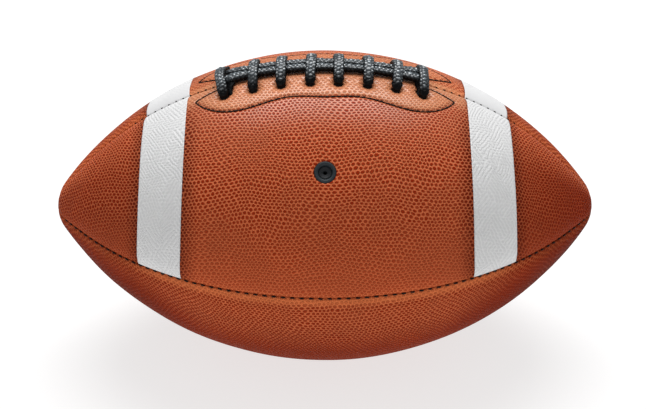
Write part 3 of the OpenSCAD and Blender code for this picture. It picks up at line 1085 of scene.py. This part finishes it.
# Near black where painted shade falls low down and at the sides, lighter on top as a painted highlight.
lace_dark = (0.0022, 0.0022, 0.0028, 1)
lace_grey = (0.018, 0.020, 0.023, 1)
lace_lit_top = (0.190, 0.220, 0.240, 1)
lace_relief = 0.22 * mm


def lace_finish():
    material, start = new_finish("lace_leather", {
        "Specular IOR Level": 0.08, "Coat Roughness": 0.22, "Coat IOR": 2.3, "Coat Tint": (0.88, 0.96, 1, 1)})
    place = start.node("ShaderNodeUVMap", {"uv_map": "cord"})
    knob = start.wear_and_light("knob")
    wear_and_light = start.wear_and_light("wear_and_light")
    fine = place.noise(0.45 * mm, 3.0, 0.65)
    patch = place.noise(2.4 * mm, 2.0)
    # The bumps' tops are painted lighter: a painted highlight.
    lightened = (0.14 + knob * (0.55 + 0.8 * patch) + (fine - 0.5) * 0.4).tint(lace_grey, lace_lit_top)
    colour = (wear_and_light * (0.7 + 0.6 * patch)).tint(lace_dark, lightened)
    coat = (0.06 + 0.94 * knob) * (0.42 + 1.15 * patch) * (0.06 + 1.0 * wear_and_light)
    dress(material, colour, 0.42 + (fine - 0.5) * 0.3, fine + knob * 0.5, lace_relief, coat)
    return material


lace = make_lace()
lace.data.materials.append(lace_finish())
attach(lace, "root")
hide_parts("lace")

# Valve
# A moulded rubber seat, bonded to the bladder, whose neck fills the round hole in the front upper
# panel. A softer rubber plug is pushed into it from inside, dished round the hole for the needle.
valve_segments = 72
valve_turn = math.pi / 4
seat_profile = [
    (3.25, -14), (5.5, -14), (5.5, -5.8), (12, -5.8), (12, -4.3), (5.5, -4.3), (5.5, -1.0), (5.42, -0.62),
    (5.2, -0.36), (4.85, -0.25), (4.4, -0.26), (3.95, -0.38), (3.65, -0.62), (3.45, -1.0), (3.25, -1.5)]
plug_profile = [
    (0.85, -17), (3.7, -17), (4.0, -16.8), (4.0, -14.4), (3.7, -14.1), (3.2, -14.1), (3.2, -1.75),
    (3.05, -1.55), (2.8, -1.5), (2.4, -1.68), (1.8, -1.95), (1.25, -2.08), (1.0, -2.2), (0.85, -2.5)]
rubber_grain = 0.35 * mm
rubber_relief = 0.05 * mm
sharp_edge = math.radians(60)
flange_bend_from = 8 * mm


def make_turned(name, profile):
    """Round rubber piece from a closed profile of radii and heights in mm, set square to the panel.
    Its flange follows the ball's curve."""
    sheet = bmesh.new()
    corners = [sheet.verts.new((r * mm, 0, z * mm)) for r, z in profile]
    edges = [sheet.edges.new((a, b)) for a, b in zip(corners, corners[1:] + corners[:1])]
    bmesh.ops.spin(
        sheet, geom=corners + edges, cent=(0, 0, 0), axis=(0, 0, 1), angle=2 * math.pi, steps=valve_segments,
        use_merge=True)
    bmesh.ops.recalc_face_normals(sheet, faces=sheet.faces)
    for v in sheet.verts:
        if math.hypot(v.co.x, v.co.y) > flange_bend_from:
            v.co.z -= v.co.y ** 2 / (2 * half_width) + v.co.x ** 2 / (2 * side_radius)
    turn = Matrix.Rotation(valve_turn, 4, "X")
    turn.translation = on_ball(0, valve_turn)
    bmesh.ops.transform(sheet, matrix=turn, verts=sheet.verts)
    rims = [e for e in sheet.edges if e.calc_face_angle(0) > sharp_edge]
    for edge in rims:
        edge.smooth = False
    return smooth_object(name, sheet)


def rubber_finish(name, dark, light, dust):
    """Moulded rubber with a faint grain, dulled by dust."""
    material, start = new_finish(name, {"Specular IOR Level": 0.35})
    place = start.node("ShaderNodeTexCoord", None, None, 3)
    grain = place.noise(rubber_grain, 3.0, 0.6)
    patch = place.noise(3 * mm, 2.0)
    colour = (patch * 0.7 + grain * 0.3).tint(dark, light)
    dress(material, colour, dust + (patch - 0.5) * 0.2 + (grain - 0.5) * 0.1, grain, rubber_relief)
    return material


seat_rubber = rubber_finish("seat_rubber", (0.010, 0.014, 0.018, 1), (0.024, 0.033, 0.040, 1), 0.52)
plug_rubber = rubber_finish("plug_rubber", (0.006, 0.007, 0.009, 1), (0.022, 0.024, 0.028, 1), 0.6)
for name, node, profile, rubber, slot in (
        ("valve_seat_rubber", "valve_seat", seat_profile, seat_rubber, "valve_rubber"),
        ("valve_plug_rubber", "valve_plug", plug_profile, plug_rubber, "plug_rubber")):
    turned = make_turned(name, profile)
    turned.data.materials.append(rubber)
    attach(turned, "root")
    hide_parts(node)

# Pieces inside
# Woven cotton lining, split leather facings and tongue, and the film of the bladder. They are out of
# sight once the ball is laced up.
weave_pitch = 0.7 * mm
weave_relief = 0.1 * mm
split_relief = 0.12 * mm


def paint_node(name, material):
    """Puts a material on every slot of a carried-over piece."""
    data = nodes[name].data
    if not data.materials:
        data.materials.append(material)
    for i in range(len(data.materials)):
        data.materials[i] = material


def canvas_finish():
    material, start = new_finish("cotton_canvas", {"Specular IOR Level": 0.2})
    place = start.node("ShaderNodeTexCoord", None, None, 3)
    warp = (place.along((1, 0, 0)) * (2 * math.pi / weave_pitch)).cosine()
    weft = (place.along((0, 0.7, 0.7)) * (2 * math.pi / weave_pitch)).cosine()
    weave = warp * weft * 0.5 + 0.5
    slub = place.noise(2 * mm, 3.0)
    colour = (weave * 0.5 + slub * 0.5).tint((0.50, 0.45, 0.36, 1), (0.72, 0.68, 0.58, 1))
    dress(material, colour, 0.85 + (slub - 0.5) * 0.2, weave, weave_relief)
    return material


def split_finish(name, dark, light, size):
    """Plain leather without its grain side: matt, cloudy and slightly fibrous."""
    material, start = new_finish(name, {"Specular IOR Level": 0.2})
    place = start.node("ShaderNodeTexCoord", None, None, 3)
    cloud = place.noise(size, 4.0, 0.6)
    fibre = place.noise(0.4 * mm, 3.0, 0.7)
    dress(material, cloud.tint(dark, light), 0.75 + (fibre - 0.5) * 0.2, fibre, split_relief)
    return material


canvas = canvas_finish()
facing_leather = split_finish("facing_split", (0.34, 0.23, 0.13, 1), (0.52, 0.39, 0.25, 1), 9 * mm)
tongue_leather = split_finish("tongue_split", (0.42, 0.34, 0.24, 1), (0.62, 0.53, 0.41, 1), 12 * mm)
bladder_film = split_finish("bladder_film", (0.024, 0.024, 0.028, 1), (0.048, 0.048, 0.054, 1), 20 * mm)
for part, material in (
        ("lining_front_upper", canvas), ("lining_back_upper", canvas), ("lining_front_lower", canvas),
        ("lining_back_lower", canvas), ("lace_facing_front", facing_leather),
        ("lace_facing_back", facing_leather), ("lace_tongue", tongue_leather), ("bladder", bladder_film)):
    paint_node(part, material)

# Floor, light and camera
# Plain white floor, with a wide soft light above and a weak one in front, seen from the photograph's
# angle.
floor_half_width = 20
floor_relief = 0.1 * mm
floor_sheet = bmesh.new()
bmesh.ops.create_grid(floor_sheet, x_segments=1, y_segments=1, size=floor_half_width)
floor = smooth_object("floor", floor_sheet)
floor_paint, start = new_finish("floor_paint", {
    "Specular IOR Level": 0.0, "Emission Color": (1, 1, 1, 1), "Emission Strength": 0.70})
place = start.node("ShaderNodeTexCoord", None, None, 3)
mottle = place.noise(0.4, 2.0)
floor_colour = mottle.tint((0.40, 0.40, 0.40, 1), (0.41, 0.41, 0.41, 1))
dress(floor_paint, floor_colour, 0.88 + mottle * 0.04, mottle, floor_relief)
floor.data.materials.append(floor_paint)


def area_light(name, place, aim, width, depth, power):
    """Soft rectangular light at a place, turned towards an aim."""
    lamp = bpy.data.lights.new(name, "AREA")
    lamp.shape = "RECTANGLE"
    lamp.size = width
    lamp.size_y = depth
    lamp.energy = power
    made = bpy.data.objects.new(name, lamp)
    made.location = place
    made.rotation_euler = (Vector(aim) - Vector(place)).to_track_quat("-Z", "Y").to_euler()
    bpy.context.scene.collection.objects.link(made)


ball_middle = Vector((0, 0, axis_height))
area_light("overhead", (0, 0.45, 1.15), ball_middle, width=1.1, depth=0.6, power=13.5)
area_light("front_fill", (0, -1.35, 0.5), ball_middle, width=1.9, depth=0.8, power=1.5)

world = bpy.data.worlds.new("studio")
world.use_nodes = True
sky = world.node_tree.nodes["Background"]
sky.inputs["Color"].default_value = (1, 1, 1, 1)
sky.inputs["Strength"].default_value = 0.34
bpy.context.scene.world = world
bpy.context.scene.view_settings.view_transform = "Standard"

# The camera's distance, its focal length in pixels, and the pixels from the view's middle to the ball's
photo_width = 646
sensor_width = 36
camera_rise = math.radians(34)
camera_distance = 720 * mm
focal_pixels = 1321
middle_right = 1.9
middle_down = 0.7
back = Vector((0, -math.cos(camera_rise), math.sin(camera_rise)))
right = Vector((1, 0, 0))
up = back.cross(right)
pixel = camera_distance / focal_pixels
aim = ball_middle - right * middle_right * pixel + up * middle_down * pixel
lens = bpy.data.cameras.new("camera")
lens.sensor_width = sensor_width
lens.lens = sensor_width * focal_pixels / photo_width
camera = bpy.data.objects.new("camera", lens)
camera.location = aim + back * camera_distance
camera.rotation_euler = back.to_track_quat("Z", "Y").to_euler()
bpy.context.scene.collection.objects.link(camera)
bpy.context.scene.camera = camera
